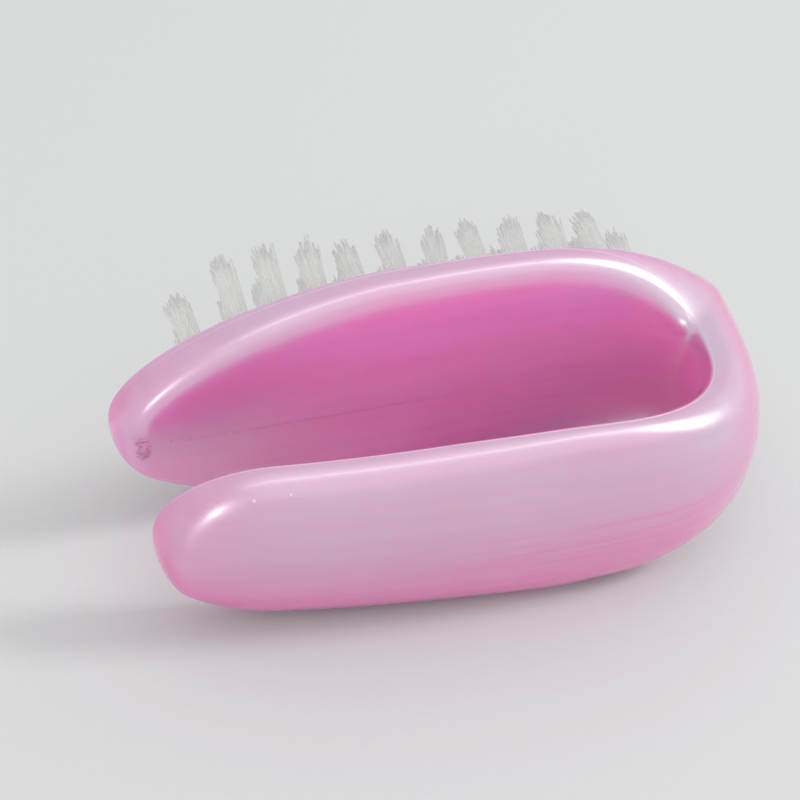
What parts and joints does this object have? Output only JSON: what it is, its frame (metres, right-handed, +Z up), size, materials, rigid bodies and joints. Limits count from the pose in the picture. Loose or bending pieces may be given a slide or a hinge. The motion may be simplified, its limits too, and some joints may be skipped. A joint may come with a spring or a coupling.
{
  "type": "nail brush",
  "caption": "Nail brush lying on its side: a moulded body bent double, with a finger handle over a leaf-shaped plate of stapled nylon tufts.",
  "frame": {"origin": "on the table that the brush lies on, under the middle of the brush's box", "axes": "+X along the brush from its open tip to its bend, +Y the way the bristles point, +Z up from the table with the brush on its side"},
  "size_m": [0.086, 0.0498, 0.0392],
  "materials": {
    "plastic": "pearl pink moulded plastic, glossy, slightly see-through at thin edges",
    "nylon": "white translucent nylon filament, trimmed ends",
    "anchor_wire": "flat drawn wire, bare metal"
  },
  "bodies": {
    "root": {"body": "plastic", "bristles": "nylon", "tuft_anchor_01": "anchor_wire", "tuft_anchor_02": "anchor_wire", "tuft_anchor_03": "anchor_wire", "tuft_anchor_04": "anchor_wire", "tuft_anchor_05": "anchor_wire", "tuft_anchor_06": "anchor_wire", "tuft_anchor_07": "anchor_wire", "tuft_anchor_08": "anchor_wire", "tuft_anchor_09": "anchor_wire", "tuft_anchor_10": "anchor_wire", "tuft_anchor_11": "anchor_wire", "tuft_anchor_12": "anchor_wire", "tuft_anchor_13": "anchor_wire", "tuft_anchor_14": "anchor_wire", "tuft_anchor_15": "anchor_wire", "tuft_anchor_16": "anchor_wire", "tuft_anchor_17": "anchor_wire", "tuft_anchor_18": "anchor_wire", "tuft_anchor_19": "anchor_wire", "tuft_anchor_20": "anchor_wire", "tuft_anchor_21": "anchor_wire", "tuft_anchor_22": "anchor_wire", "tuft_anchor_23": "anchor_wire", "tuft_anchor_24": "anchor_wire", "tuft_anchor_25": "anchor_wire", "tuft_anchor_26": "anchor_wire", "tuft_anchor_27": "anchor_wire", "tuft_anchor_28": "anchor_wire", "tuft_anchor_29": "anchor_wire", "tuft_anchor_30": "anchor_wire", "tuft_anchor_31": "anchor_wire", "tuft_anchor_32": "anchor_wire", "tuft_anchor_33": "anchor_wire", "tuft_anchor_34": "anchor_wire", "tuft_anchor_35": "anchor_wire", "tuft_anchor_36": "anchor_wire", "tuft_anchor_37": "anchor_wire", "tuft_anchor_38": "anchor_wire", "tuft_anchor_39": "anchor_wire", "tuft_anchor_40": "anchor_wire", "tuft_anchor_41": "anchor_wire", "tuft_anchor_42": "anchor_wire", "tuft_anchor_43": "anchor_wire", "tuft_anchor_44": "anchor_wire", "tuft_anchor_45": "anchor_wire", "tuft_anchor_46": "anchor_wire", "tuft_anchor_47": "anchor_wire", "tuft_anchor_48": "anchor_wire", "tuft_anchor_49": "anchor_wire", "tuft_anchor_50": "anchor_wire", "tuft_anchor_51": "anchor_wire", "tuft_anchor_52": "anchor_wire", "tuft_anchor_53": "anchor_wire", "tuft_anchor_54": "anchor_wire", "tuft_anchor_55": "anchor_wire", "tuft_anchor_56": "anchor_wire"}
  },
  "joints": []
}
